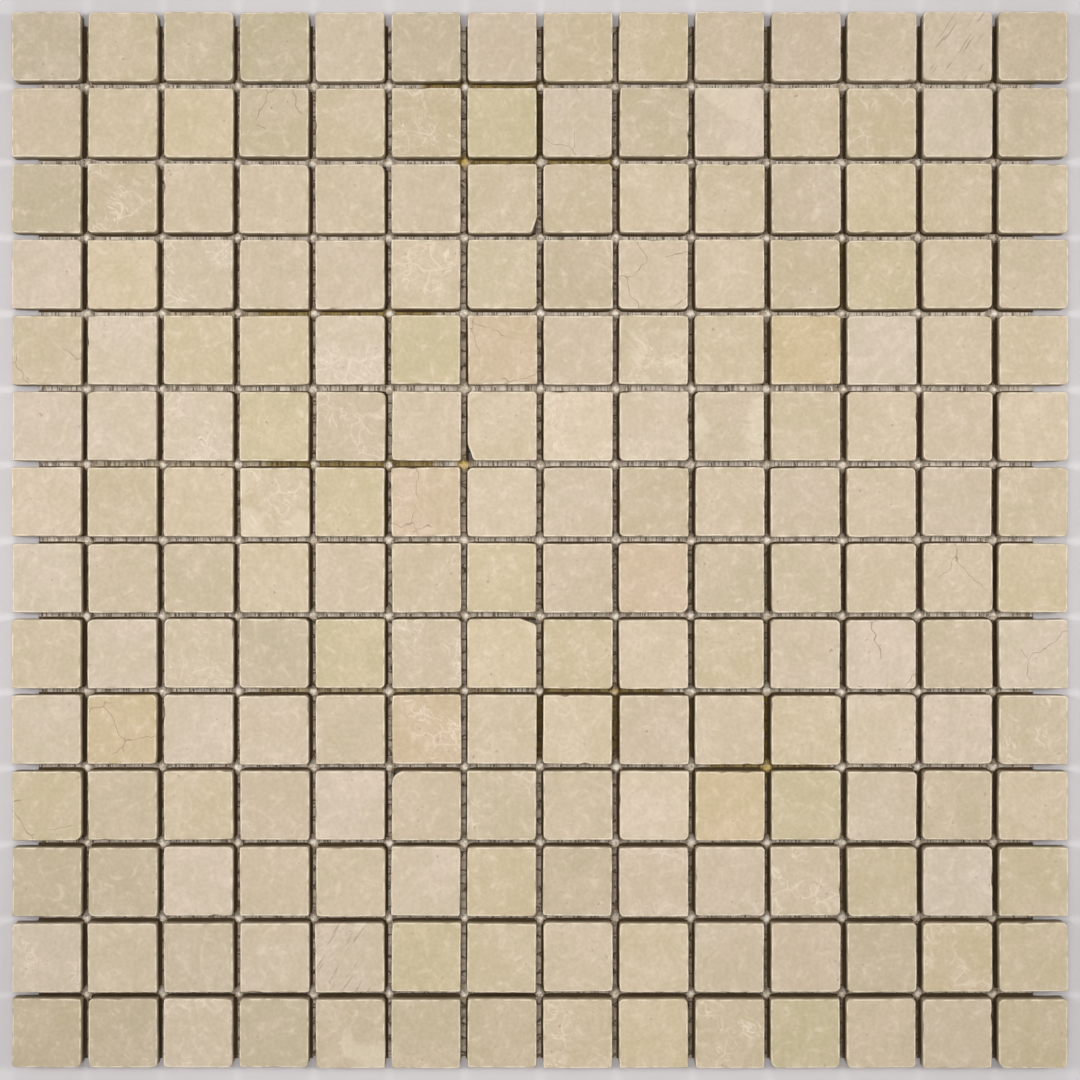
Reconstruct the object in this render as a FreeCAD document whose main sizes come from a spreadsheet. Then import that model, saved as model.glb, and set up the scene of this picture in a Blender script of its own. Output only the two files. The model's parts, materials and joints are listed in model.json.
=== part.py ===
"""Mosaic sheet: square stone chips held face up on a glass-fibre mesh, 14 by 14 to a sheet.

Millimetres. X runs along the rows of chips, Y across them and Z up, out of their faces. The origin
is the middle of the sheet's underside, which is the underside of the mesh. Row 1 lies at the far
side, +Y, and the first chip of a row at -X.
"""

import FreeCAD, Part
import math
import os
import random

import Sketcher

# Driving dimensions, in millimetres unless a line says otherwise
SIZES = [
    ("rows", 14),  # rows of chips, a count
    ("columns", 14),  # chips in a row, a count
    ("chip_width", 20.0),  # each side of a chip's square face
    ("chip_thick", 4.0),  # chip from its bedded back to its face
    ("joint_gap", 1.9),  # open joint between two chips
    ("corner_cut", 0.8),  # flat worn off each upright corner
    ("edge_ease", 0.5),  # slope worn round the face
    ("knocked_round", 2.2),  # radius of a corner that has been knocked round
    ("broken_round", 3.6),  # radius of a corner that has broken away
    ("split_long", 4.8),  # a corner that has split off: its cut along one side
    ("split_short", 1.6),  # and along the other
    ("lay_shift", 0.15),  # most that a chip lies off its place
    ("lay_turn", 0.5),  # most that a chip lies turned, in degrees
    ("yarn_width", 0.8),  # flat bundle of glass fibre
    ("yarn_thick", 0.2),  # one layer of yarns
    ("mesh_pitch", 4.87),  # yarn to yarn
    ("mesh_left_inset", 6.6),  # mesh stops short of the sheet's left side
    ("mesh_right_inset", 9.0),  # and of its right side
    ("mesh_front_inset", 1.7),  # and of its front
    ("mesh_back_inset", 3.0),  # and of its back
    ("yarn_tail", 1.0),  # cut end of a yarn, past the first yarn that it crosses
    ("bead_clearance", 0.4),  # glue bead to the cut corners round it
    ("bead_crown", 1.6),  # top of a glue bead, across corners
    ("bead_height", 1.2),  # glue bead above the mesh
]

# How a kind of chip lost its front left corner: the feature, and the sizes that it is bound to
CHIP_KINDS = {
    "Chip": ("Chamfer", {"Size": "corner_cut"}),
    "KnockedChip": ("Fillet", {"Radius": "knocked_round"}),
    "BrokenChip": ("Fillet", {"Radius": "broken_round"}),
    "SideSplitChip": ("Chamfer", {"Size": "split_short", "Size2": "split_long"}),
    "FrontSplitChip": ("Chamfer", {"Size": "split_long", "Size2": "split_short"}),
}

# The damaged chips, by row and column: their kind, and quarter turns from the front left
DAMAGED_CHIPS = {
    (3, 5): ("KnockedChip", 2),
    (3, 7): ("FrontSplitChip", 1),
    (6, 7): ("SideSplitChip", 0),
    (8, 9): ("KnockedChip", 1),
    (9, 7): ("FrontSplitChip", 2),
    (11, 1): ("KnockedChip", 1),
    (11, 6): ("BrokenChip", 3),
    (14, 11): ("KnockedChip", 0),
    (14, 14): ("KnockedChip", 0),
}
LAYING_SEED = 14

# Lengths that follow from the driving dimensions
PITCH = "(Sizes.chip_width + Sizes.joint_gap)"
SHEET_X = "(Sizes.columns * Sizes.chip_width + (Sizes.columns - 1) * Sizes.joint_gap)"
SHEET_Y = "(Sizes.rows * Sizes.chip_width + (Sizes.rows - 1) * Sizes.joint_gap)"
MESH_X = f"({SHEET_X} - Sizes.mesh_left_inset - Sizes.mesh_right_inset)"
MESH_Y = f"({SHEET_Y} - Sizes.mesh_front_inset - Sizes.mesh_back_inset)"
MESH_LEFT = f"(Sizes.mesh_left_inset - {SHEET_X} / 2)"
MESH_FRONT = f"(Sizes.mesh_front_inset - {SHEET_Y} / 2)"
MESH_TOP = "(2 * Sizes.yarn_thick)"
BEAD_FOOT = "(sqrt(2) * (Sizes.joint_gap + Sizes.corner_cut) - 2 * Sizes.bead_clearance)"


def add_sizes(doc):
    """Write the driving dimensions to the sheet that every feature is bound to."""
    sheet = doc.addObject("Spreadsheet::Sheet", "Sizes")
    for line, (alias, value) in enumerate(SIZES, start=1):
        sheet.set(f"A{line}", alias)
        sheet.set(f"B{line}", str(value))
        sheet.setAlias(f"B{line}", alias)
    doc.recompute()
    return sheet


def origin_feature(body, role):
    """Find one of a body's own origin planes or axes."""
    return next(feature for feature in body.Origin.OriginFeatures if feature.Role == role)


def add_sketch(body, name):
    """Add an empty sketch on a body's XY plane."""
    sketch = body.newObject("Sketcher::SketchObject", name)
    sketch.AttachmentSupport = [(origin_feature(body, "XY_Plane"), "")]
    sketch.MapMode = "FlatFace"
    return sketch


def add_ring_of_lines(sketch, corners):
    """Draw a closed ring of straight lines through the corners and join their ends."""
    for start, end in zip(corners, corners[1:] + corners[:1]):
        sketch.addGeometry(Part.LineSegment(FreeCAD.Vector(*start), FreeCAD.Vector(*end)))
    for line in range(len(corners)):
        following = (line + 1) % len(corners)
        sketch.addConstraint(Sketcher.Constraint("Coincident", line, 2, following, 1))


def add_rectangle(sketch, size_x, size_y):
    """Draw a rectangle about the origin, its two sides bound to expressions."""
    add_ring_of_lines(sketch, [(-5, -5), (5, -5), (5, 5), (-5, 5)])
    for line, rule in enumerate(["Horizontal", "Vertical", "Horizontal", "Vertical"]):
        sketch.addConstraint(Sketcher.Constraint(rule, line))
    sketch.addConstraint(Sketcher.Constraint("Symmetric", 0, 1, 2, 1, -1, 1))
    width = sketch.addConstraint(Sketcher.Constraint("DistanceX", 0, 1, 0, 2, 10))
    depth = sketch.addConstraint(Sketcher.Constraint("DistanceY", 1, 1, 1, 2, 10))
    sketch.setExpression(f"Constraints[{width}]", size_x)
    sketch.setExpression(f"Constraints[{depth}]", size_y)


def add_hexagon(sketch, across_corners):
    """Draw a regular hexagon about the origin, one corner on the X axis."""
    angles = [math.radians(60 * corner) for corner in range(6)]
    add_ring_of_lines(sketch, [(math.cos(angle), math.sin(angle)) for angle in angles])
    circle = sketch.addGeometry(Part.Circle(FreeCAD.Vector(), FreeCAD.Vector(0, 0, 1), 1.0), True)
    sketch.addConstraint(Sketcher.Constraint("Coincident", circle, 3, -1, 1))
    for line in range(6):
        sketch.addConstraint(Sketcher.Constraint("PointOnObject", line, 1, circle))
    for line in range(1, 6):
        sketch.addConstraint(Sketcher.Constraint("Equal", 0, line))
    sketch.addConstraint(Sketcher.Constraint("PointOnObject", 0, 1, -1))
    reach = sketch.addConstraint(Sketcher.Constraint("Diameter", circle, 2))
    sketch.setExpression(f"Constraints[{reach}]", across_corners)


def add_pad(body, sketch, height):
    """Raise a sketch into a solid whose height is bound to an expression."""
    pad = body.newObject("PartDesign::Pad", body.Name + "Pad")
    pad.Profile = sketch
    pad.setExpression("Length", height)
    return pad


def add_edge_cut(body, feature, is_wanted, kind, sizes):
    """Chamfer or fillet the wanted edges of a feature, its measures bound to named sizes."""
    names = [f"Edge{number}" for number, edge in enumerate(feature.Shape.Edges, 1) if is_wanted(edge)]
    cut = body.newObject(f"PartDesign::{kind}", body.Name + kind)
    cut.Base = (feature, names)
    if "Size2" in sizes:
        cut.ChamferType = "Two distances"
    for measure, size in sizes.items():
        cut.setExpression(measure, f"Sizes.{size}")
    body.Document.recompute()
    return cut


def is_upright(edge):
    """Tell whether an edge stands along Z."""
    start, end = (vertex.Point for vertex in edge.Vertexes)
    return math.hypot(end.x - start.x, end.y - start.y) < 1e-6


def is_front_left(edge):
    """Tell whether an edge lies towards -X and -Y."""
    return edge.CenterOfMass.x < 0 and edge.CenterOfMass.y < 0


def add_chip(doc, name, corner_kind, corner_sizes):
    """Make one chip on the origin: a sawn square, its corners and face edges worn by tumbling."""
    body = doc.addObject("PartDesign::Body", name)
    sketch = add_sketch(body, name + "Outline")
    add_rectangle(sketch, "Sizes.chip_width", "Sizes.chip_width")
    blank = add_pad(body, sketch, "Sizes.chip_thick")
    doc.recompute()
    worn = add_edge_cut(body, blank, lambda edge: is_upright(edge) and not is_front_left(edge),
                        "Chamfer", {"Size": "corner_cut"})
    worn = add_edge_cut(body, worn, lambda edge: is_upright(edge) and is_front_left(edge),
                        corner_kind, corner_sizes)
    face = worn.Shape.BoundBox.ZMax
    add_edge_cut(body, worn, lambda edge: edge.BoundBox.ZMin > face - 1e-6, "Chamfer",
                 {"Size": "edge_ease"})
    return body


def add_rows(doc, counts):
    """Lay the chips by hand, row by row: each lies a little off its place and a little turned."""
    kinds = {name: add_chip(doc, name, *corner) for name, corner in CHIP_KINDS.items()}
    laying = random.Random(LAYING_SEED)
    rows = []
    for row in range(1, counts["rows"] + 1):
        chips = []
        for column in range(1, counts["columns"] + 1):
            kind, quarter_turns = DAMAGED_CHIPS.get((row, column), ("Chip", 0))
            chip = doc.addObject("App::Link", f"Chip_{row:02d}_{column:02d}")
            chip.LinkedObject = kinds[kind]
            chip.Placement.Rotation = FreeCAD.Rotation(FreeCAD.Vector(0, 0, 1), 1)
            off_x, off_y, off_turn = (round(laying.uniform(-1, 1), 3) for _ in range(3))
            chip.setExpression("Placement.Base.x",
                               f"({column} - (Sizes.columns + 1) / 2) * {PITCH} + Sizes.lay_shift * {off_x}")
            chip.setExpression("Placement.Base.y",
                               f"((Sizes.rows + 1) / 2 - {row}) * {PITCH} + Sizes.lay_shift * {off_y}")
            chip.setExpression("Placement.Base.z", MESH_TOP)
            chip.setExpression("Placement.Rotation.Angle",
                               f"{90 * quarter_turns} + Sizes.lay_turn * {off_turn}")
            chips.append(chip)
        node = doc.addObject("Part::Compound", f"TileRow{row:02d}")
        node.Label = f"tile_row_{row:02d}"
        node.Links = chips
        rows.append(node)
    return rows


def add_pattern(body, feature, role, spacing, count):
    """Repeat a feature along one of the body's axes."""
    pattern = body.newObject("PartDesign::LinearPattern", body.Name + "Pattern")
    pattern.Originals = [feature]
    pattern.Direction = (origin_feature(body, role), [""])
    pattern.Mode = "Spacing"
    pattern.setExpression("Offset", spacing)
    pattern.setExpression("Occurrences", count)
    body.Tip = pattern


def add_yarns(doc, label, along_x, level):
    """Make one layer of the mesh: parallel flat yarns, pressed straight under the chips."""
    body = doc.addObject("PartDesign::Body", label.title().replace("_", ""))
    body.Label = label
    body.AllowCompound = True
    sketch = add_sketch(body, body.Name + "Section")
    across = MESH_Y if along_x else MESH_X
    count = f"floor(({across} - 2 * Sizes.yarn_tail) / Sizes.mesh_pitch) + 1"
    if along_x:
        add_rectangle(sketch, MESH_X, "Sizes.yarn_width")
        body.setExpression("Placement.Base.x", f"{MESH_LEFT} + {MESH_X} / 2")
        body.setExpression("Placement.Base.y", f"{MESH_FRONT} + Sizes.yarn_tail")
    else:
        add_rectangle(sketch, "Sizes.yarn_width", MESH_Y)
        body.setExpression("Placement.Base.x", f"{MESH_LEFT} + Sizes.yarn_tail")
        body.setExpression("Placement.Base.y", f"{MESH_FRONT} + {MESH_Y} / 2")
    body.setExpression("Placement.Base.z", level)
    yarn = add_pad(body, sketch, "Sizes.yarn_thick")
    doc.recompute()
    add_pattern(body, yarn, "Y_Axis" if along_x else "X_Axis", "Sizes.mesh_pitch", count)
    return body


def add_bead(doc):
    """Make one bead of glue on the origin, leaning in from a six-sided foot to its crown."""
    body = doc.addObject("PartDesign::Body", "Bead")
    sketch = add_sketch(body, "BeadFoot")
    add_hexagon(sketch, BEAD_FOOT)
    pad = add_pad(body, sketch, "Sizes.bead_height")
    doc.recompute()
    lean = body.newObject("PartDesign::Draft", "BeadLean")
    lean.Base = (pad, [f"Face{number}" for number, face in enumerate(pad.Shape.Faces, 1)
                       if abs(face.normalAt(0, 0).z) < 0.5])
    lean.NeutralPlane = (origin_feature(body, "XY_Plane"), [""])
    inset = f"({BEAD_FOOT} - Sizes.bead_crown) / 2 * cos(30 deg)"
    lean.setExpression("Angle", f"atan({inset} / Sizes.bead_height)")
    return body


def add_beads(doc, counts):
    """Set a bead of glue on the mesh wherever four chips meet, between their worn corners."""
    bead = add_bead(doc)
    beads = []
    for row in range(1, counts["rows"]):
        for column in range(1, counts["columns"]):
            copy = doc.addObject("App::Link", f"Bead_{row:02d}_{column:02d}")
            copy.LinkedObject = bead
            copy.setExpression("Placement.Base.x", f"({column} - Sizes.columns / 2) * {PITCH}")
            copy.setExpression("Placement.Base.y", f"(Sizes.rows / 2 - {row}) * {PITCH}")
            copy.setExpression("Placement.Base.z", MESH_TOP)
            beads.append(copy)
    node = doc.addObject("Part::Compound", "GlueBeads")
    node.Label = "glue_beads"
    node.Links = beads
    return node


def check_model(doc, nodes):
    """Stop before anything is written if an object failed or a piece is not a sound solid."""
    for item in doc.Objects:
        if "Invalid" in item.State or "Error" in item.State:
            raise RuntimeError(f"{item.Label} did not recompute: {item.State}")
    for node in nodes:
        if node.Shape.isNull() or not node.Shape.isValid() or not node.Shape.Solids:
            raise RuntimeError(f"{node.Label} has no valid shape")


def main():
    """Build the sheet and write each node's solids."""
    doc = FreeCAD.newDocument("MosaicSheet")
    add_sizes(doc)
    counts = dict(SIZES)
    nodes = add_rows(doc, counts)
    nodes.append(add_yarns(doc, "mesh_warp", along_x=False, level="0"))
    nodes.append(add_yarns(doc, "mesh_weft", along_x=True, level="Sizes.yarn_thick"))
    nodes.append(add_beads(doc, counts))
    doc.recompute()
    check_model(doc, nodes)
    os.makedirs("parts", exist_ok=True)
    for node in nodes:
        node.Shape.exportStep(f"parts/{node.Label}.step")
        print(node.Label, len(node.Shape.Solids), "solids", round(node.Shape.Volume, 1), "mm3")


main()
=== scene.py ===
"""Dress a sheet of mosaic: tumbled stone chips, the glass-fibre mesh behind them and its glue.

Metres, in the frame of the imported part: X along the rows of chips, Y across them, Z out of their
faces, and the mesh's underside at zero. MM turns the sizes below, which are written in millimetres,
into metres.
"""

import json
import logging
import math
import random
from dataclasses import dataclass
from enum import Enum

import bmesh
import bpy
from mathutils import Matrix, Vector, noise

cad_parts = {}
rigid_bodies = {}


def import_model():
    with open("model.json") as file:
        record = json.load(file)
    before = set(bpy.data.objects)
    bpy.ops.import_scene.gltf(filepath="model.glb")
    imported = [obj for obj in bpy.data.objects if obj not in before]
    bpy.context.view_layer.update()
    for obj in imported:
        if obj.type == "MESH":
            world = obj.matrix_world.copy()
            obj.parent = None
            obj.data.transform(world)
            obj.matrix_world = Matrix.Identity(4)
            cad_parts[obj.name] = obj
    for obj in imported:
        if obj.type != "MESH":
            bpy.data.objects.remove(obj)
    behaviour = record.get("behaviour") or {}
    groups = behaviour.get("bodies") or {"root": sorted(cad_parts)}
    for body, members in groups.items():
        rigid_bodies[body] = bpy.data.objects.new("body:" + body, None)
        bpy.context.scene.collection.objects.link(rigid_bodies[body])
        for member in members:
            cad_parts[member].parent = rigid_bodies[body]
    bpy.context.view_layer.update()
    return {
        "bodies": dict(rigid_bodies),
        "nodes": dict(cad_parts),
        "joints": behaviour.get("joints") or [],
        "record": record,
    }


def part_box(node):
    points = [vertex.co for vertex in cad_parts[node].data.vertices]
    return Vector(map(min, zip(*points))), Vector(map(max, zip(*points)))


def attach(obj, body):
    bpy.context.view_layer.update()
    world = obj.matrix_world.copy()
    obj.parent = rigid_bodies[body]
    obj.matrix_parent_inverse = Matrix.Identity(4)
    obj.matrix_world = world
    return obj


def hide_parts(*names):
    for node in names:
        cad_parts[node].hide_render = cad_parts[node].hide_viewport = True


MM = 0.001
NOISE_SEED = 11
LOG = logging.getLogger("mosaic_sheet")
Color = tuple[float, float, float]


class Tone(Enum):
    """Stones that stand out from the sheet's plain beige, as a shift of red, green and blue."""

    PALE = (1.05, 1.06, 1.15)
    ROSY = (1.00, 0.955, 0.93)
    OCHRE = (1.00, 0.97, 0.87)
    GREEN = (0.97, 0.99, 0.90)
    DULL = (0.91, 0.92, 0.90)


class Mark(Enum):
    """What crosses a chip's face, by the name of the number that its mesh carries."""

    VEINED = "veins"
    CRACKED = "cracks"
    SPLIT = "splits"
    BLOTCHED = "blotches"


@dataclass(frozen=True)
class Stain:
    """Glue gone olive along a stretch of joint, in millimetres from the sheet's middle."""

    start: tuple[float, float]
    end: tuple[float, float]
    reach: float
    strength: float

    def at(self, point: Vector) -> float:
        """Say how strongly a point is stained.

        Args:
            point: A place on the sheet, in metres.

        Returns:
            From 0, clean, to the stain's own strength.
        """
        x, y = point.x / MM - self.start[0], point.y / MM - self.start[1]
        run_x, run_y = self.end[0] - self.start[0], self.end[1] - self.start[1]
        length = max(run_x * run_x + run_y * run_y, 1e-6)
        along = min(1.0, max(0.0, (x * run_x + y * run_y) / length))
        gap = math.hypot(x - run_x * along, y - run_y * along)
        return self.strength * max(0.0, 1.0 - gap / self.reach)


# Drips that have stained a bead and what is round it
DRIPS = (
    Stain((-22.2, 110.0), (-22.2, 110.0), 3.0, 0.9),
    Stain((-22.2, 21.9), (-22.2, 21.9), 2.6, 0.9),
    Stain((65.7, -65.7), (65.7, -65.7), 5.0, 1.0),
    Stain((21.9, -43.8), (21.9, -43.8), 2.6, 0.6),
)

# Stretches of joint whose film is stained
STAINS = (
    Stain((-32.0, 131.6), (0.0, 131.6), 3.0, 0.9),
    Stain((0.0, 131.0), (0.0, 110.0), 2.2, 1.0),
    Stain((-22.0, 109.5), (22.0, 109.5), 2.6, 0.7),
    Stain((-135.0, 21.9), (-45.0, 21.9), 2.0, 0.2),
    Stain((-78.0, 21.9), (-32.0, 21.9), 3.0, 0.5),
    Stain((-110.0, 65.7), (-45.0, 65.7), 2.0, 0.2),
    Stain((-80.0, 65.7), (-32.0, 65.7), 3.0, 0.5),
    Stain((65.7, -45.0), (65.7, -65.7), 2.0, 0.6),
    Stain((0.0, -43.8), (34.0, -43.8), 3.0, 0.9),
    Stain((-80.0, -43.8), (-11.0, -43.8), 2.4, 0.3),
    Stain((50.0, -65.7), (82.0, -65.7), 2.6, 0.45),
    Stain((0.0, -44.0), (0.0, -62.0), 2.2, 0.8),
    Stain((22.0, -44.0), (22.0, -62.0), 2.0, 0.6),
    Stain((43.8, -46.0), (43.8, -64.0), 2.0, 0.7),
    Stain((87.6, 86.0), (87.6, 68.0), 2.0, 0.6),
    Stain((-131.4, -40.0), (-131.4, -20.0), 2.0, 0.3),
)

# Centre of the painted shade, and how far from there it is full, in millimetres: film in joints along Y
# darkens away from it, and the chips' sides are lighter near it
SHADE_CENTRE = (-42.0, 50.0)
SHADE_REACH = 110.0

# Chips whose stone stands out, by row from the far side and column from the left
ODD_CHIPS = {
    Tone.PALE: {(1, 5), (2, 10), (2, 13), (4, 1), (5, 2), (5, 5), (5, 12), (6, 1), (6, 2), (6, 3), (6, 9),
                (8, 1), (9, 2), (9, 12), (9, 14), (10, 1), (10, 3), (10, 13), (11, 5), (12, 3), (12, 6),
                (12, 13), (13, 1)},
    Tone.ROSY: {(5, 7), (7, 6), (8, 9), (10, 6)},
    Tone.OCHRE: {(5, 11), (10, 2), (11, 10)},
    Tone.GREEN: {(2, 7), (4, 12), (5, 6), (6, 4), (7, 5), (9, 5), (11, 11), (13, 6), (14, 11)},
    Tone.DULL: {(1, 4), (1, 6), (3, 1), (9, 4), (12, 1), (12, 2), (13, 12), (14, 1), (14, 2), (14, 4)},
}

# Chips with bright veins, dark hairline cracks, slanting splits or pale blotches
MARKED_CHIPS = {
    Mark.VEINED: {(2, 6), (2, 12), (3, 2), (4, 3), (4, 6), (5, 5), (5, 9), (6, 3), (6, 5), (6, 8), (7, 4),
                  (9, 3), (9, 6), (10, 6), (10, 14), (11, 7), (12, 9), (12, 11), (13, 1), (13, 13), (14, 3),
                  (14, 8), (14, 10)},
    Mark.CRACKED: {(2, 4), (2, 8), (4, 9), (5, 1), (5, 7), (7, 6), (8, 13), (9, 12), (9, 14), (10, 2),
                   (11, 1)},
    Mark.SPLIT: {(1, 13), (13, 5)},
    Mark.BLOTCHED: {(2, 10), (5, 9), (6, 10), (7, 4), (14, 5)},
}


class NodeBoard:
    """A material's node tree, with one method for each kind of node that the finishes use."""

    def __init__(self, name: str) -> None:
        """Start a material.

        Args:
            name: The material's name.
        """
        self.material = bpy.data.materials.new(name)
        self.material.use_nodes = True
        self.tree = self.material.node_tree
        self.shader = self.tree.nodes["Principled BSDF"]

    def add(self, kind: str, inputs: dict, **settings: object) -> bpy.types.Node:
        """Add a node, set it up and feed its inputs.

        Args:
            kind: The node's type name.
            inputs: A value or a socket for each input, by the input's name or number.
            **settings: The node's own settings.

        Returns:
            The new node.
        """
        node = self.tree.nodes.new(kind)
        for name, value in settings.items():
            setattr(node, name, value)
        for key, value in inputs.items():
            self.feed(node.inputs[key], value)
        return node

    def feed(self, socket: bpy.types.NodeSocket, value: object) -> None:
        """Give an input a plain value, or join it to another node's output.

        Args:
            socket: The input.
            value: A number, a colour, a vector or an output socket.
        """
        if isinstance(value, bpy.types.NodeSocket):
            self.tree.links.new(value, socket)
        else:
            socket.default_value = value

    def place(self) -> bpy.types.NodeSocket:
        """Give the point's place on the object."""
        return self.add("ShaderNodeTexCoord", {}).outputs["Object"]

    def value_of(self, name: str) -> bpy.types.NodeSocket:
        """Give a number that the mesh carries."""
        return self.add("ShaderNodeAttribute", {}, attribute_name=name).outputs["Fac"]

    def vector_of(self, name: str) -> bpy.types.NodeSocket:
        """Give a vector that the mesh carries."""
        return self.add("ShaderNodeAttribute", {}, attribute_name=name).outputs["Vector"]

    def math(self, operation: str, first: object, second: object = 0.0) -> bpy.types.NodeSocket:
        """Work out one sum, clamped to 0 and 1.

        Args:
            operation: Blender's name for the sum.
            first: The first number or socket.
            second: The second number or socket.

        Returns:
            The result.
        """
        node = self.add("ShaderNodeMath", {0: first, 1: second}, operation=operation, use_clamp=True)
        return node.outputs[0]

    def moved(self, vector: object, offset: object) -> bpy.types.NodeSocket:
        """Add an offset to a vector."""
        return self.add("ShaderNodeVectorMath", {0: vector, 1: offset}, operation="ADD").outputs[0]

    def slid(self, vector: object) -> bpy.types.NodeSocket:
        """Slide a place sideways with its height, so that a flat pattern also crosses the sides.

        Args:
            vector: The place.

        Returns:
            The place to read flat patterns at.
        """
        height = self.add("ShaderNodeSeparateXYZ", {0: vector}).outputs["Z"]
        slide = self.add("ShaderNodeVectorMath", {0: (0.7, 0.6, 0.0), "Scale": height},
                         operation="SCALE")
        return self.moved(vector, slide.outputs[0])

    def stirred(self, vector: object, scale: float, amount: float) -> bpy.types.NodeSocket:
        """Push a pattern's coordinates about, so that its lines wander.

        Args:
            vector: The coordinates.
            scale: How fine the wandering is, in waves for each metre.
            amount: How far it goes, in metres.

        Returns:
            The new coordinates.
        """
        drift = self.add("ShaderNodeTexNoise", {"Vector": vector, "Scale": scale, "Detail": 1.0},
                         noise_dimensions="2D")
        centred = self.add("ShaderNodeVectorMath", {0: drift.outputs["Color"], 1: (0.5, 0.5, 0.5)},
                           operation="SUBTRACT")
        scaled = self.add("ShaderNodeVectorMath", {0: centred.outputs[0], "Scale": amount},
                          operation="SCALE")
        return self.moved(vector, scaled.outputs[0])

    def noise(self, vector: object, scale: float, detail: float = 2.0,
              dimensions: str = "2D") -> bpy.types.NodeSocket:
        """Give a cloudy pattern.

        Args:
            vector: The coordinates.
            scale: Clouds for each metre.
            detail: How many finer layers the clouds have.
            dimensions: 2D, which is quick, or 3D.

        Returns:
            A number about 0.5.
        """
        node = self.add("ShaderNodeTexNoise", {"Vector": vector, "Scale": scale, "Detail": detail},
                        noise_dimensions=dimensions)
        return node.outputs["Fac"]

    def cells(self, vector: object, scale: float, feature: str) -> bpy.types.NodeSocket:
        """Give the distance to a cell's heart (F1) or to its edge (DISTANCE_TO_EDGE)."""
        node = self.add("ShaderNodeTexVoronoi", {"Vector": vector, "Scale": scale}, feature=feature,
                        voronoi_dimensions="2D")
        return node.outputs["Distance"]

    def band(self, value: object, low: float, high: float, at_low: float = 0.0,
             at_high: float = 1.0) -> bpy.types.NodeSocket:
        """Stretch part of a number's range, and hold it beyond.

        Args:
            value: The number.
            low: Where the range starts.
            high: Where it ends.
            at_low: The result there and below.
            at_high: The result there and above.

        Returns:
            The stretched number.
        """
        node = self.add("ShaderNodeMapRange", {"Value": value, "From Min": low, "From Max": high,
                                               "To Min": at_low, "To Max": at_high})
        return node.outputs["Result"]

    def blend(self, share: object, under: object, over: object,
              how: str = "MIX") -> bpy.types.NodeSocket:
        """Lay one colour over another.

        Args:
            share: How much of the upper colour shows.
            under: The lower colour, as three numbers or a socket.
            over: The upper one.
            how: Blender's name for the way they mix.

        Returns:
            The mixed colour.
        """
        under, over = (c if isinstance(c, bpy.types.NodeSocket) else (*c, 1.0) for c in (under, over))
        node = self.add("ShaderNodeMix", {0: share, 6: under, 7: over}, data_type="RGBA",
                        blend_type=how)
        return node.outputs[2]

    def finish(self, color: object, roughness: object, height: object, depth: float,
               gloss: float = 0.5) -> bpy.types.Material:
        """Join the results to the shader.

        Args:
            color: The base colour.
            roughness: The roughness.
            height: The bump's height, from 0 to 1.
            depth: The height of 1, in metres.
            gloss: How strongly the surface mirrors.

        Returns:
            The finished material.
        """
        self.feed(self.shader.inputs["Base Color"], color)
        self.feed(self.shader.inputs["Roughness"], roughness)
        self.shader.inputs["Specular IOR Level"].default_value = gloss
        bump = self.add("ShaderNodeBump", {"Height": height, "Distance": depth, "Strength": 1.0})
        self.feed(self.shader.inputs["Normal"], bump.outputs["Normal"])
        return self.material


def seen_rays(tree: bpy.types.NodeTree) -> bpy.types.NodeSocket:
    """Tell the rays that look at a backdrop from those that would carry its light.

    Args:
        tree: The node tree to add to.

    Returns:
        1 for the camera's rays and for what gloss and clear things show, and otherwise 0.
    """
    rays = tree.nodes.new("ShaderNodeLightPath")
    seen = rays.outputs["Is Camera Ray"]
    for kind in ("Is Glossy Ray", "Is Transmission Ray"):
        either = tree.nodes.new("ShaderNodeMath")
        either.operation = "MAXIMUM"
        tree.links.new(seen, either.inputs[0])
        tree.links.new(rays.outputs[kind], either.inputs[1])
        seen = either.outputs[0]
    return seen


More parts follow.
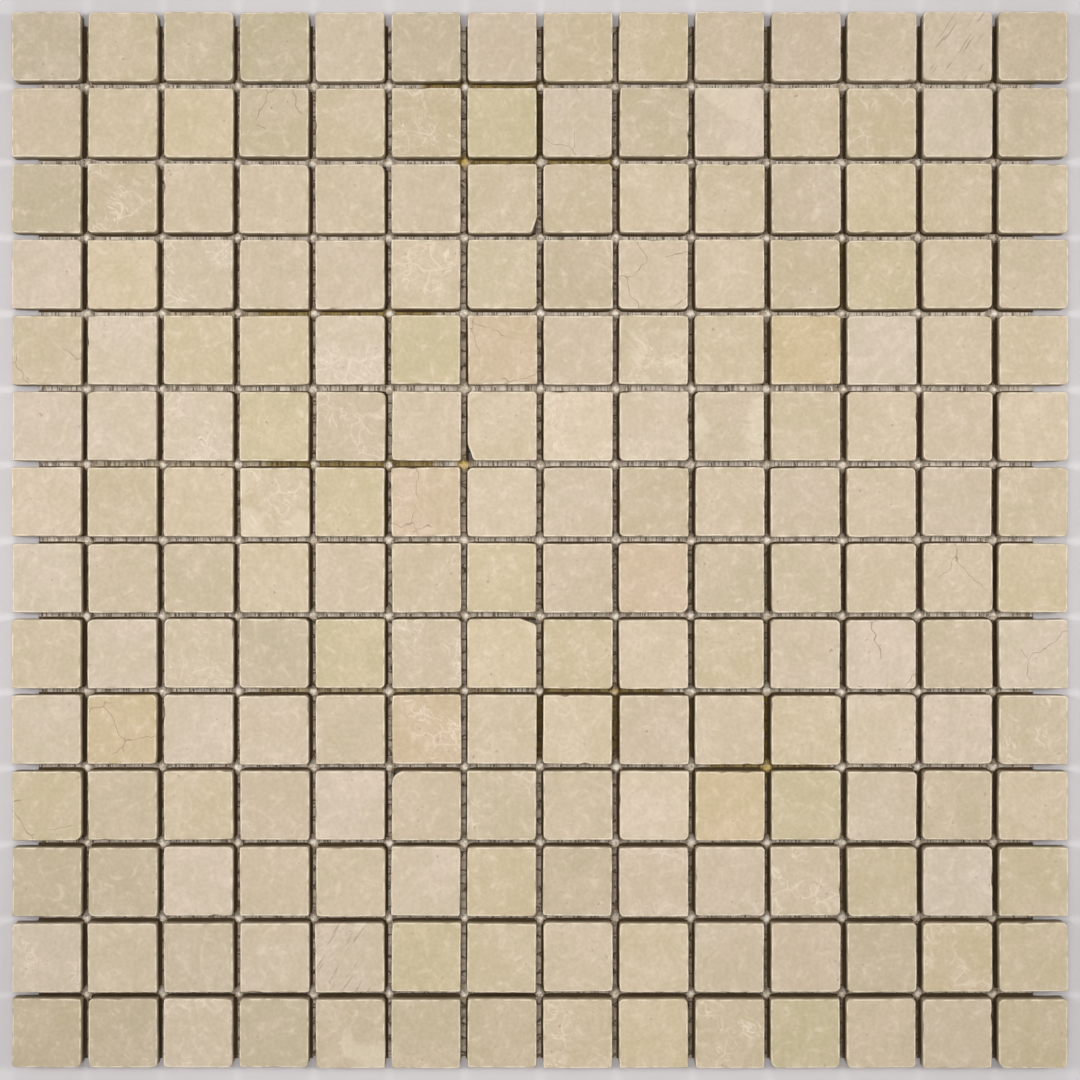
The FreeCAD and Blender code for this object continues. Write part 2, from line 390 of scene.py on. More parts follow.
@dataclass(frozen=True)
class StoneFinish:
    """Honed beige marble: clouds, cream veins, dark hairlines, small pits and bruised edges, with a painted
    highlight along the worn edges and painted shade on the rounded edges and sides.
    """

    base: Color = (0.636, 0.525, 0.377)
    curd: Color = (0.76, 0.66, 0.51)
    vein: Color = (0.84, 0.75, 0.60)
    hairline: Color = (0.32, 0.215, 0.145)
    # Bruised stone and a painted highlight along the worn edges.
    bruise_and_highlight: Color = (0.86, 0.76, 0.61)
    olive: Color = (0.15, 0.11, 0.02)
    # Painted shade: a tint for the rounded edges, a dark one for the sides, and a lighter one for the sides
    # where their painted shade is lifted.
    shaded_edge_tint: Color = (0.70, 0.68, 0.64)
    shaded_side_tint: Color = (0.30, 0.26, 0.18)
    lifted_side_tint: Color = (0.80, 0.76, 0.70)
    edge_depth: float = 0.35 * MM
    roughness: float = 0.55

    def material(self, back: float, face: float) -> bpy.types.Material:
        """Make the stone's material.

        Args:
            back: The height of the chips' backs.
            face: The height of their faces.

        Returns:
            The material.
        """
        board = NodeBoard("honed_marble")
        spot = board.slid(board.moved(board.place(), board.vector_of("quarry_place")))
        wander = board.stirred(spot, 130.0, 0.006)
        clouds = board.noise(spot, 80.0)
        grain = board.noise(spot, 800.0, 3.0)
        color = board.blend(1.0, self.base, board.vector_of("tone"), "MULTIPLY")
        color = self._clouds(board, wander, clouds, grain, color)
        color = self._veins(board, spot, wander, clouds, color)
        color = self._pits(board, spot, clouds, color)
        # The worn edge is lightened in broken dashes: bruised stone and painted highlight.
        broken_up = board.band(board.noise(spot, 330.0), 0.36, 0.58, 0.0, 1.0)
        color = board.blend(board.math("MULTIPLY", board.value_of("rim_wear_and_highlight"), broken_up), color, self.bruise_and_highlight)
        color = self._paint_edge_and_side_shade(board, back, face, color)
        color = board.blend(board.value_of("stain"), color, self.olive)
        roughness = board.band(clouds, 0.3, 0.7, self.roughness - 0.07, self.roughness + 0.08)
        return board.finish(color, roughness, grain, 0.00005, 0.35)

    def _paint_edge_and_side_shade(self, board: NodeBoard, back: float, face: float, color: object) -> bpy.types.NodeSocket:
        """Paint shade on the rounded edges and, more and more towards the mesh, on the sides, lighter where
        the sides' shade is lifted.

        Args:
            board: The material's nodes.
            back: The height of the chips' backs.
            face: The height of their faces.
            color: The colour so far.

        Returns:
            The colour with its painted shade.
        """
        height = board.add("ShaderNodeSeparateXYZ", {0: board.place()}).outputs["Z"]
        # Painted shade on the rounded edge, from its foot to just below the face.
        edge = board.band(height, face - self.edge_depth, face - 0.01 * MM, 1.0, 0.0)
        color = board.blend(edge, color, board.blend(1.0, color, self.shaded_edge_tint, "MULTIPLY"))
        # Painted shade on the sides, darkest at their feet and lighter where it is lifted.
        side = board.band(height, back, face - self.edge_depth, 1.0, 0.0)
        side_shade_color = board.blend(board.value_of("side_shade_lift"), self.shaded_side_tint, self.lifted_side_tint)
        return board.blend(side, color, board.blend(1.0, color, side_shade_color, "MULTIPLY"))

    def _clouds(self, board: NodeBoard, wander: object, clouds: object, grain: object,
                color: object) -> bpy.types.NodeSocket:
        """Lay soft clouds, paler curds, blotches and a fine grain into the stone.

        Args:
            board: The material's nodes.
            wander: The stone's coordinates, stirred.
            clouds: The broad cloud pattern.
            grain: The fine pattern.
            color: The colour so far.

        Returns:
            The clouded colour.
        """
        soft = board.band(clouds, 0.36, 0.64)
        color = board.blend(soft, board.blend(1.0, color, (0.965, 0.97, 0.94), "MULTIPLY"),
                            board.blend(1.0, color, (1.02, 1.015, 1.035), "MULTIPLY"))
        wisps = board.noise(wander, 330.0, 5.0)
        color = board.blend(board.band(wisps, 0.34, 0.62, 1.0, 0.0), color,
                            board.blend(1.0, color, (0.945, 0.945, 0.93), "MULTIPLY"))
        color = board.blend(board.band(grain, 0.40, 0.62, 0.0, 0.8), color,
                            board.blend(1.0, color, (0.92, 0.92, 0.91), "MULTIPLY"))
        color = board.blend(board.band(wisps, 0.60, 0.78, 0.0, 0.5), color, self.curd)
        flecks = board.math("MULTIPLY", board.band(board.noise(wander, 480.0, 4.0), 0.60, 0.74, 0.0, 0.25),
                            board.band(clouds, 0.50, 0.62))
        color = board.blend(flecks, color, self.vein)
        patch = board.band(board.noise(wander, 85.0, 4.0), 0.51, 0.60, 0.0, 0.5)
        patch = board.math("MULTIPLY", patch, board.value_of(Mark.BLOTCHED.value))
        return board.blend(patch, color, self.curd)

    def _veins(self, board: NodeBoard, spot: object, wander: object, clouds: object,
               color: object) -> bpy.types.NodeSocket:
        """Draw cream veins, and on some chips dark cracks and slanting splits.

        Args:
            board: The material's nodes.
            spot: The stone's own coordinates.
            wander: The same, stirred.
            clouds: The broad cloud pattern.
            color: The colour so far.

        Returns:
            The veined colour.
        """
        drawn = board.add("ShaderNodeMapping", {"Vector": wander, "Rotation": (0.0, 0.0, 0.7),
                                                "Scale": (1.0, 2.6, 1.0)}, vector_type="TEXTURE")
        folds = board.noise(drawn.outputs[0], 200.0, 3.0)
        lines = board.math("MULTIPLY", board.band(folds, 0.488, 0.5, 0.0, 0.8),
                           board.band(folds, 0.5, 0.512, 1.0, 0.0))
        lines = board.math("MULTIPLY", lines, board.band(clouds, 0.42, 0.54))
        fine = board.cells(wander, 170.0, "DISTANCE_TO_EDGE")
        fine = board.math("MULTIPLY", board.band(fine, 0.01, 0.07, 0.45, 0.0),
                          board.band(clouds, 0.52, 0.62))
        lines = board.math("MAXIMUM", lines, fine)
        color = board.blend(board.math("MULTIPLY", lines, board.value_of(Mark.VEINED.value)), color,
                            self.vein)
        crack = board.band(board.cells(board.stirred(spot, 260.0, 0.003), 60.0, "DISTANCE_TO_EDGE"),
                           0.002, 0.010, 1.0, 0.0)
        crack = board.math("MULTIPLY", crack, board.band(clouds, 0.44, 0.52))
        crack = board.math("MULTIPLY", crack, board.value_of(Mark.CRACKED.value))
        slant = board.add("ShaderNodeMapping", {"Vector": spot, "Rotation": (0.0, 0.0, -0.6),
                                                "Scale": (1.0, 11.0, 1.0)}, vector_type="TEXTURE")
        split = board.band(board.noise(slant.outputs[0], 1000.0), 0.63, 0.69, 0.0, 0.6)
        split = board.math("MULTIPLY", split, board.band(clouds, 0.44, 0.52))
        split = board.math("MULTIPLY", split, board.value_of(Mark.SPLIT.value))
        return board.blend(board.math("MAXIMUM", crack, split), color, self.hairline)

    def _pits(self, board: NodeBoard, spot: object, clouds: object,
              color: object) -> bpy.types.NodeSocket:
        """Sink a few small dark pits.

        Args:
            board: The material's nodes.
            spot: The stone's own coordinates.
            clouds: The broad cloud pattern.
            color: The colour so far.

        Returns:
            The pitted colour.
        """
        dots = board.band(board.noise(spot, 560.0, 2.0), 0.72, 0.80, 0.0, 0.6)
        dots = board.math("MULTIPLY", dots, board.band(clouds, 0.52, 0.60))
        return board.blend(dots, color, self.hairline)


@dataclass(frozen=True)
class FibreFinish:
    """White coated glass-fibre yarn, darkened on its upper side, where the glue has soaked it."""

    base: Color = (0.56, 0.52, 0.46)
    soaked: Color = (0.24, 0.18, 0.115)
    olive: Color = (0.14, 0.085, 0.02)
    soaked_from: float = 0.10 * MM
    soaked_by: float = 0.24 * MM

    def material(self) -> bpy.types.Material:
        """Make the yarns' material."""
        board = NodeBoard("coated_glass_fibre")
        spot = board.place()
        height = board.add("ShaderNodeSeparateXYZ", {0: spot}).outputs["Z"]
        wet = board.math("MAXIMUM", board.band(board.noise(spot, 420.0, 3.0), 0.42, 0.60, 0.0, 0.6),
                         board.band(height, self.soaked_from, self.soaked_by))
        color = board.blend(wet, self.base, self.soaked)
        color = board.blend(board.value_of("stain"), color, self.olive)
        threads = board.noise(spot, 5200.0, 2.0)
        roughness = board.band(wet, 0.0, 1.0, 0.6, 0.35)
        return board.finish(color, roughness, threads, 0.00005, 0.2)


@dataclass(frozen=True)
class GlueFinish:
    """Dried glue: milky where it is thick, grey and wrinkled where it is a film, with painted shade along
    the film's feet and in joints along Y away from the shade centre, and painted light in joints along X.
    """

    milky: Color = (0.85, 0.775, 0.68)
    waxy: Color = (0.46, 0.375, 0.27)
    film: Color = (0.86, 0.735, 0.60)
    # Painted light: the film in joints along X, away from the beads, is lighter than in joints along Y.
    lit_ribbed_film: Color = (0.98, 0.87, 0.74)
    # Painted shade: the darker film of joints along Y, away from the shade centre.
    outer_shaded_film: Color = (0.33, 0.245, 0.15)
    skirt: Color = (0.58, 0.475, 0.35)
    # Dark marks in the film, and the painted shade along the film's feet.
    murk_and_shade: Color = (0.092, 0.058, 0.027)
    amber: Color = (0.50, 0.345, 0.06)
    olive: Color = (0.17, 0.105, 0.022)
    roughness: float = 0.34

    def bead(self, foot: float, crown: float) -> bpy.types.Material:
        """Make the material of the beads, which thin out to a dull skirt.

        Args:
            foot: The height of the beads' feet.
            crown: The height of their crowns.

        Returns:
            The material.
        """
        board = NodeBoard("milky_glue")
        spot = board.place()
        height = board.add("ShaderNodeSeparateXYZ", {0: spot}).outputs["Z"]
        rise = crown - foot
        thick = board.band(height, foot + 0.2 * rise, foot + 0.7 * rise)
        blotch = board.band(board.noise(spot, 750.0, 2.0, "3D"), 0.44, 0.62)
        color = board.blend(thick, self.skirt, board.blend(blotch, self.milky, self.waxy))
        color = board.blend(board.band(board.value_of("stain"), 0.0, 0.6, 0.0, 0.85), color, self.amber)
        return board.finish(color, self.roughness, board.noise(spot, 1400.0, 1.0, "3D"), 0.00012)

    def wrinkled_film(self) -> bpy.types.Material:
        """Make the material of the film, whose pattern follows each joint."""
        board = NodeBoard("wrinkled_glue_film")
        spot = board.vector_of("joint_place")
        crossing = board.value_of("crossing")
        lens = board.cells(board.stirred(spot, 400.0, 0.0022), 420.0, "DISTANCE_TO_EDGE")
        stroke = board.math("MULTIPLY", board.band(lens, 0.03, 0.22, 1.0, 0.0),
                            board.band(crossing, 0.1, 0.7, 0.25, 0.95))
        stroke = board.math("MULTIPLY", stroke, board.band(board.value_of("ribbed"), 0.0, 1.0, 1.0, 0.45))
        blotch = board.band(board.noise(spot, 300.0), 0.42, 0.64, 0.0, 0.4)
        ribs = board.math("MULTIPLY", self._ribs(board, spot), board.band(crossing, 0.0, 0.5, 0.4, 1.0))
        # Painted shade along the film's feet, wide on the side away from the shade centre and narrow on the
        # other side.
        foot = board.band(board.value_of("foot"), 0.70, 0.95)
        dark = board.math("MAXIMUM", board.math("MAXIMUM", stroke, blotch), ribs)
        # Painted shade: the film in joints along Y darkens away from the shade centre.
        color = board.blend(board.value_of("outer_shade"), self.film, self.outer_shaded_film)
        # Painted light: joints along X take the lighter film.
        color = self._stained(board, board.blend(board.value_of("ribbed"), color, self.lit_ribbed_film))
        color = board.blend(board.math("MAXIMUM", dark, foot), color, self.murk_and_shade)
        height = board.math("SUBTRACT", 1.0, dark)
        return board.finish(color, self.roughness, height, 0.0001, 0.12)

    def _ribs(self, board: NodeBoard, spot: object) -> bpy.types.NodeSocket:
        """Draw the thin cross lines where the film lies over the flat yarns.

        Args:
            board: The material's nodes.
            spot: The place in the joint.

        Returns:
            How dark the lines are.
        """
        squeezed = board.add("ShaderNodeVectorMath", {0: spot, 1: (1.0, 0.12, 1.0)}, operation="MULTIPLY")
        lines = board.band(board.noise(squeezed.outputs[0], 1700.0, 1.0), 0.52, 0.60, 0.0, 0.75)
        return board.math("MULTIPLY", lines, board.value_of("ribbed"))

    def _stained(self, board: NodeBoard, color: object) -> bpy.types.NodeSocket:
        """Turn the glue amber, then olive, where it is stained.

        Args:
            board: The material's nodes.
            color: The clean colour.

        Returns:
            The stained colour.
        """
        stain = board.value_of("stain")
        color = board.blend(board.band(stain, 0.0, 0.4, 0.0, 0.85), color, self.amber)
        gone = board.math("MULTIPLY", board.band(stain, 0.25, 0.65, 0.0, 0.95),
                          board.band(board.value_of("ribbed"), 0.0, 1.0, 1.0, 0.3))
        return board.blend(gone, color, self.olive)


@dataclass(frozen=True)
class FloorFinish:
    """Plain pale floor, which stays pale to the eye where the lamps no longer reach."""

    base: Color = (0.73, 0.695, 0.71)
    lit_reach: float = 260 * MM
    pale_reach: float = 800 * MM
    paleness: float = 0.62

    def material(self) -> bpy.types.Material:
        """Make the floor's material."""
        board = NodeBoard("pale_floor")
        spot = board.place()
        soft = board.band(board.noise(spot, 35.0, 3.0), 0.3, 0.7)
        color = board.blend(soft, self.base, tuple(0.96 * part for part in self.base))
        away = board.add("ShaderNodeVectorMath", {0: spot}, operation="LENGTH").outputs["Value"]
        glow = board.band(away, self.lit_reach, self.pale_reach, 0.0, self.paleness)
        board.shader.inputs["Emission Color"].default_value = (*self.base, 1.0)
        board.feed(board.shader.inputs["Emission Strength"],
                   board.math("MULTIPLY", glow, seen_rays(board.tree)))
        return board.finish(color, 0.6, board.noise(spot, 900.0), 0.00002)


def store(data: bpy.types.Mesh, name: str, kind: str, values: list[float]) -> None:
    """Write one value for each point of a mesh.

    Args:
        data: The mesh.
        name: The attribute's name.
        kind: FLOAT or FLOAT_VECTOR.
        values: The numbers, point after point.
    """
    layer = data.attributes.new(name, kind, "POINT")
    layer.data.foreach_set("value" if kind == "FLOAT" else "vector", values)


def drip_at(point: Vector) -> float:
    """Say how strongly a drip has stained a place on the sheet."""
    return max(drip.at(point) for drip in DRIPS)


def stain_at(point: Vector) -> float:
    """Say how strongly a place on the sheet is stained, by a drip or along a joint."""
    return max(drip_at(point), max(stain.at(point) for stain in STAINS))


def outer_shade_at(point: Vector) -> float:
    """Say how far a place lies from the shade centre, from 0 there to 1, for painted shade that grows
    outward.
    """
    gap = math.hypot(point.x / MM - SHADE_CENTRE[0], point.y / MM - SHADE_CENTRE[1])
    return min(1.0, gap / SHADE_REACH)


def yarn_lines(node: bpy.types.Object, axis: int) -> list[float]:
    """Find where the yarns of a CAD node lie.

    Args:
        node: The CAD node.
        axis: The axis across the yarns, 0 for X and 1 for Y.

    Returns:
        The middle of each yarn on that axis.
    """
    sides = sorted({round(point.co[axis] / MM, 3) for point in node.data.vertices})
    return [(first + second) / 2 * MM for first, second in zip(sides[::2], sides[1::2])]


def make_piece(name: str, shape: bmesh.types.BMesh, material: bpy.types.Material,
               nodes: list[str]) -> bpy.types.Object:
    """Turn a finished shape into a piece of the part.

    Args:
        name: The piece's name.
        shape: Its shape, which is freed.
        material: Its material.
        nodes: The CAD nodes that it stands for, if any.

    Returns:
        The piece.
    """
    for face in shape.faces:
        face.smooth = True
    data = bpy.data.meshes.new(name)
    shape.to_mesh(data)
    shape.free()
    data.materials.append(material)
    piece = bpy.data.objects.new(name, data)
    bpy.context.scene.collection.objects.link(piece)
    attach(piece, "root")
    if nodes:
        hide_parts(*nodes)
    LOG.info("%s: %d faces", name, len(data.polygons))
    return piece


@dataclass
class ChipRows:
    """The rows of stone chips, each chip tumbled from the square that the frame gives."""

    finish: StoneFinish
    corner_round: float = 0.3 * MM
    sharp_round: float = 0.8 * MM
    sharp_turn: float = math.radians(60)
    crisp_round: float = 0.45 * MM
    crisp_turn: float = math.radians(80)
    crisp_share: float = 0.85
    longest_flat: float = 2.0 * MM
    tumbled_share: float = 0.3
    tumbled_column: int = 12
    corner_steps: int = 2
    edge_step: float = 1.5 * MM
    back_ease: float = 0.18 * MM
    rim: tuple[tuple[float, float], ...] = ((0.05, 0.20), (0.09, 0.13), (0.12, 0.07), (0.14, 0.03))
    face_step: float = 0.16
    extra_round: float = 0.4 * MM
    round_reach: float = 2.4 * MM
    wall_levels: tuple[float, ...] = (0.6,)
    waviness: float = 0.09 * MM
    grit: float = 0.035 * MM
    bite_share: float = 0.45
    # How much the sides' painted shade is lifted on walls that face along Y.
    end_side_shade_lift: float = 0.45
    seed: int = 20

    def build(self, frame: dict) -> list[bpy.types.Object]:
        """Build and dress every row.

        Args:
            frame: The loaded frame.

        Returns:
            One piece for each row.
        """
        names = sorted(name for name in frame["nodes"] if name.startswith("tile_row_"))
        material = self.finish.material(*(corner.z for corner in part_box(names[0])))
        draw = random.Random(self.seed)
        return [self._row(frame["nodes"][name], row, material, draw)
                for row, name in enumerate(names, start=1)]

    def _row(self, node: bpy.types.Object, row: int, material: bpy.types.Material,
             draw: random.Random) -> bpy.types.Object:
        """Build one row.

        Args:
            node: The row's CAD node.
            row: Its number, from the far side.
            material: The stone.
            draw: Where random choices come from.

        Returns:
            The row's piece.
        """
        low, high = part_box(node.name)
        shape = bmesh.new()
        centres = self._outlines(shape, node, low.z, row, draw)
        self._raise_walls(shape, low.z, high.z)
        self._round_rims(shape, high.z)
        bmesh.ops.recalc_face_normals(shape, faces=shape.faces)
        owners = self._owners(shape, centres)
        self._wear(shape, owners, centres, high.z, draw)
        piece = make_piece(f"chips_row_{row:02d}", shape, material, [node.name])
        self._mark(piece.data, owners, len(centres), row, (low.z, high.z), draw)
        return piece

    def _outlines(self, shape: bmesh.types.BMesh, node: bpy.types.Object, floor: float, row: int,
                  draw: random.Random) -> list[Vector]:
        """Keep the chips' undersides, round their corners and divide their sides.

        Args:
            shape: The shape to fill.
            node: The row's CAD node.
            floor: The undersides' height.
            row: The row's number.
            draw: Where random choices come from.

        Returns:
            The middle of each chip, from left to right.
        """
        shape.from_mesh(node.data)
        bmesh.ops.remove_doubles(shape, verts=shape.verts, dist=1e-6)
        upper = [face for face in shape.faces if any(corner.co.z > floor + 1e-5 for corner in face.verts)]
        bmesh.ops.delete(shape, geom=upper, context="FACES")
        bmesh.ops.dissolve_limit(shape, angle_limit=0.01, verts=shape.verts, edges=shape.edges)
        centres = sorted((face.calc_center_bounds() for face in shape.faces), key=lambda spot: spot.x)
        self._square_up(shape, centres, row, draw)
        plain = [corner for corner in shape.verts
                 if min(edge.calc_length() for edge in corner.link_edges) > 2.4 * self.corner_round]
        turns = {corner: corner.calc_edge_angle(math.pi) for corner in plain}
        crisp = [corner for corner in plain if turns[corner] > self.crisp_turn]
        sharp = [corner for corner in plain if self.sharp_turn < turns[corner] <= self.crisp_turn]
        blunt = [corner for corner in plain if turns[corner] <= self.sharp_turn]
        for corners, reach in ((crisp, self.crisp_round), (sharp, self.sharp_round),
                               (blunt, self.corner_round)):
            bmesh.ops.bevel(shape, geom=corners, offset=reach, offset_type="OFFSET",
                            segments=self.corner_steps, profile=0.5, affect="VERTICES", material=-1)
        lengths = {edge: edge.calc_length() for edge in shape.edges}
        for cuts in sorted({round(length / self.edge_step) - 1 for length in lengths.values()}):
            if cuts > 0:
                sides = [edge for edge in lengths if round(lengths[edge] / self.edge_step) - 1 == cuts]
                bmesh.ops.subdivide_edges(shape, edges=sides, cuts=cuts)
                lengths = {edge: lengths[edge] for edge in lengths if edge not in sides}
        return centres

    def _square_up(self, shape: bmesh.types.BMesh, centres: list[Vector], row: int,
                   draw: random.Random) -> None:
        """Give back the corners that tumbling has hardly touched, most of them away from two edges.

        Args:
            shape: The chips' undersides, each plain corner cut by a flat.
            centres: The chips' middles.
            row: The row's number.
            draw: Where random choices come from.
        """
        lengths = {edge: edge.calc_length() for edge in shape.edges}
        flats = [edge for edge in shape.edges if lengths[edge] < self.longest_flat
                 and all(max(lengths[side] for side in corner.link_edges) > self.longest_flat
                         and abs(corner.calc_edge_angle(0.0) - math.pi / 4) < 0.1 for corner in edge.verts)]
        flats.sort(key=lambda edge: tuple(edge.verts[0].co + edge.verts[1].co))
        merges = []
        for start, end in [flat.verts[:] for flat in flats]:
            middle = (start.co + end.co) / 2
            tumbled = row == 1 or middle.x > centres[self.tumbled_column - 2].x
            if draw.random() > (self.tumbled_share if tumbled else self.crisp_share):
                continue
            along = end.co - start.co
            outward = Vector((along.y, -along.x, 0.0)) / 2
            nearest = min(centres, key=lambda centre: (centre - middle).length)
            if outward.dot(middle - nearest) < 0.0:
                outward.negate()
            merges.append(([start, end], middle + outward))
        for pair, corner in merges:
            bmesh.ops.pointmerge(shape, verts=pair, merge_co=corner)

    def _raise_walls(self, shape: bmesh.types.BMesh, floor: float, top: float) -> None:
        """Ease the back edges and raise the sides to where the worn rim begins.

        Args:
            shape: The chips' undersides.
            floor: Their height.
            top: The faces' height.
        """
        backs = shape.faces[:]
        outer = [corner for corner in shape.verts]
        bmesh.ops.inset_individual(shape, faces=backs, thickness=self.back_ease, use_even_offset=True)
        bmesh.ops.translate(shape, verts=outer, vec=(0.0, 0.0, self.back_ease))
        rim_depth = sum(rise for _, rise in self.rim) * MM
        wall_foot = floor + self.back_ease
        wall_top = top - rim_depth
        edges = [edge for edge in shape.edges if edge.is_boundary]
        height = wall_foot
        for level in (*self.wall_levels, 1.0):
            raised = bmesh.ops.extrude_edge_only(shape, edges=edges)["geom"]
            target = wall_foot + (wall_top - wall_foot) * level
            moving = [item for item in raised if isinstance(item, bmesh.types.BMVert)]
            bmesh.ops.translate(shape, verts=moving, vec=(0.0, 0.0, target - height))
            height = target
            edges = [item for item in raised if isinstance(item, bmesh.types.BMEdge) and item.is_boundary]
        bmesh.ops.holes_fill(shape, edges=edges, sides=0)

    def _round_rims(self, shape: bmesh.types.BMesh, top: float) -> None:
        """Round the edge of each face, mark it for its bruise and painted highlight, and let both fade out
        on the face.

        Args:
            shape: The closed chips.
            top: The faces' height.
        """
        rim_wear_and_highlight = shape.verts.layers.float.new("rim_wear_and_highlight")
        rim_depth = sum(rise for _, rise in self.rim) * MM
        bmesh.ops.recalc_face_normals(shape, faces=shape.faces)
        level = top - rim_depth - 1e-5
        faces = [face for face in shape.faces
                 if len(face.verts) > 8 and face.calc_center_bounds().z > level]
        for inset, rise in self.rim:
            bmesh.ops.inset_individual(shape, faces=faces, thickness=inset * MM, depth=rise * MM,
                                       use_even_offset=True)
        # Bruise and painted highlight on the top of the rim.
        for corner in shape.verts:
            corner[rim_wear_and_highlight] = 1.0 if corner.co.z > top - 0.04 * MM else 0.0
        bmesh.ops.inset_individual(shape, faces=faces, thickness=self.face_step * MM, use_even_offset=True)
        for face in faces:
            for corner in face.verts:
                corner[rim_wear_and_highlight] = 0.0

    def _owners(self, shape: bmesh.types.BMesh, centres: list[Vector]) -> list[int]:
        """Find which chip each point belongs to.

        Args:
            shape: The row.
            centres: The chips' middles.

        Returns:
            A chip's number for each point.
        """
        pitch = (centres[-1].x - centres[0].x) / (len(centres) - 1)
        return [round((corner.co.x - centres[0].x) / pitch) for corner in shape.verts]

    def _wear(self, shape: bmesh.types.BMesh, owners: list[int], centres: list[Vector], top: float,
              draw: random.Random) -> None:
        """Make the edges wander, and knock small bites out of some rims.

        Args:
            shape: The row.
            owners: The chip of each point.
            centres: The chips' middles.
            top: The faces' height.
            draw: Where random choices come from.
        """
        drifts = [Vector((draw.uniform(0, 50), draw.uniform(0, 50), draw.uniform(0, 50))) for _ in centres]
        bites = [self._bites(centre, top, draw) for centre in centres]
        rounds = [self._rounds(centre, draw) for centre in centres]
        for corner, owner in zip(shape.verts, owners):
            spot = corner.co / MM + drifts[owner]
            wave = noise.noise_vector(Vector((spot.x, spot.y, spot.z * 0.3)) * 0.28) * self.waviness
            fine = noise.noise_vector(spot * 1.3) * self.grit
            level = 1.0 if corner.co.z < top - 0.02 * MM else 0.0
            shift = Vector((wave.x + fine.x, wave.y + fine.y, (wave.z * 0.3 + fine.z) * level * 0.6))
            inward = centres[owner] - corner.co
            inward.z = 0.0
            for middle, amount in rounds[owner]:
                near = 1.0 - (corner.co.xy - middle).length / self.round_reach
                if near > 0.0:
                    shift += inward.normalized() * amount * near ** 1.6
            for centre, reach, depth in bites[owner]:
                near = 1.0 - (corner.co - centre).length / reach
                if near > 0.0:
                    shift += inward.normalized() * depth * near
                    shift.z -= depth * near * level
            corner.co += shift

    def _rounds(self, centre: Vector, draw: random.Random) -> list[tuple[Vector, float]]:
        """Choose how much rounder each corner of a chip is knocked.

        Args:
            centre: The chip's middle.
            draw: Where random choices come from.

        Returns:
            The place of each corner and how far it is pushed in.
        """
        half = 10.0 * MM
        return [(Vector((centre.x + side * half, centre.y + end * half)),
                 self.extra_round * draw.uniform(0.0, 1.0) ** 2)
                for side in (-1.0, 1.0) for end in (-1.0, 1.0)]

    def _bites(self, centre: Vector, top: float, draw: random.Random) -> list[tuple[Vector, float, float]]:
        """Choose where a chip's rim is chipped.

        Args:
            centre: The chip's middle.
            top: The face's height.
            draw: Where random choices come from.

        Returns:
            The middle, reach and depth of each bite.
        """
        bites = []
        half = 10.0 * MM
        while draw.random() < self.bite_share and len(bites) < 4:
            along = draw.uniform(-1.0, 1.0) * half
            side = draw.choice([(half, along), (-half, along), (along, half), (along, -half)])
            middle = Vector((centre.x + side[0], centre.y + side[1], top))
            reach = draw.uniform(0.7, 1.7) * MM
            bites.append((middle, reach, draw.uniform(0.15, 0.45) * MM))
        return bites

    def _mark(self, data: bpy.types.Mesh, owners: list[int], count: int, row: int,
              heights: tuple[float, float], draw: random.Random) -> None:
        """Give the mesh what the stone reads: each chip's tone and marks, where it is stained, and where the
        painted shade on its sides is lifted.

        Args:
            data: The row's mesh.
            owners: The chip of each point.
            count: How many chips the row has.
            row: The row's number.
            heights: The chips' lowest and highest level.
            draw: Where random choices come from.
        """
        tones, places = [], []
        for column in range(1, count + 1):
            odd = next((tone for tone, chips in ODD_CHIPS.items() if (row, column) in chips), None)
            shift = odd.value if odd else (1.0, 1.0, 1.0)
            spread = 0.4 if odd else 1.0
            warmth = draw.gauss(0.0, 0.005)
            depth = max(-0.06, min(0.05, draw.gauss(0.0, 0.036 * spread)))
            light = draw.gauss(1.0 + 0.3 * depth, 0.030 * spread)
            tones.append((light * (1.0 + warmth) * shift[0], light * shift[1],
                          light * (1.0 + depth) * shift[2]))
            places.append(tuple(draw.uniform(-2.0, 2.0) for _ in range(3)))
        low, high = heights
        stain = []
        for point in data.vertices:
            depth = min(1.0, (high - point.co.z) / (high - low) * 1.3 - 0.2)
            stain.append(stain_at(point.co) * depth if depth > 0.0 else 0.0)
        store(data, "tone", "FLOAT_VECTOR", [part for owner in owners for part in tones[owner]])
        store(data, "quarry_place", "FLOAT_VECTOR", [part for owner in owners for part in places[owner]])
        store(data, "stain", "FLOAT", stain)
        # Lift the sides' painted shade near the shade centre, and partly on walls that face along Y.
        store(data, "side_shade_lift", "FLOAT", [max(1.0 - outer_shade_at(point.co), self.end_side_shade_lift * abs(point.normal.y))
                                       for point in data.vertices])
        for mark, chips in MARKED_CHIPS.items():
            plain = 0.3 if mark is Mark.VEINED else 0.0
            shares = [0.85 if (row, column) in chips else draw.uniform(0.0, plain)
                      for column in range(1, count + 1)]
            store(data, mark.value, "FLOAT", [shares[owner] for owner in owners])


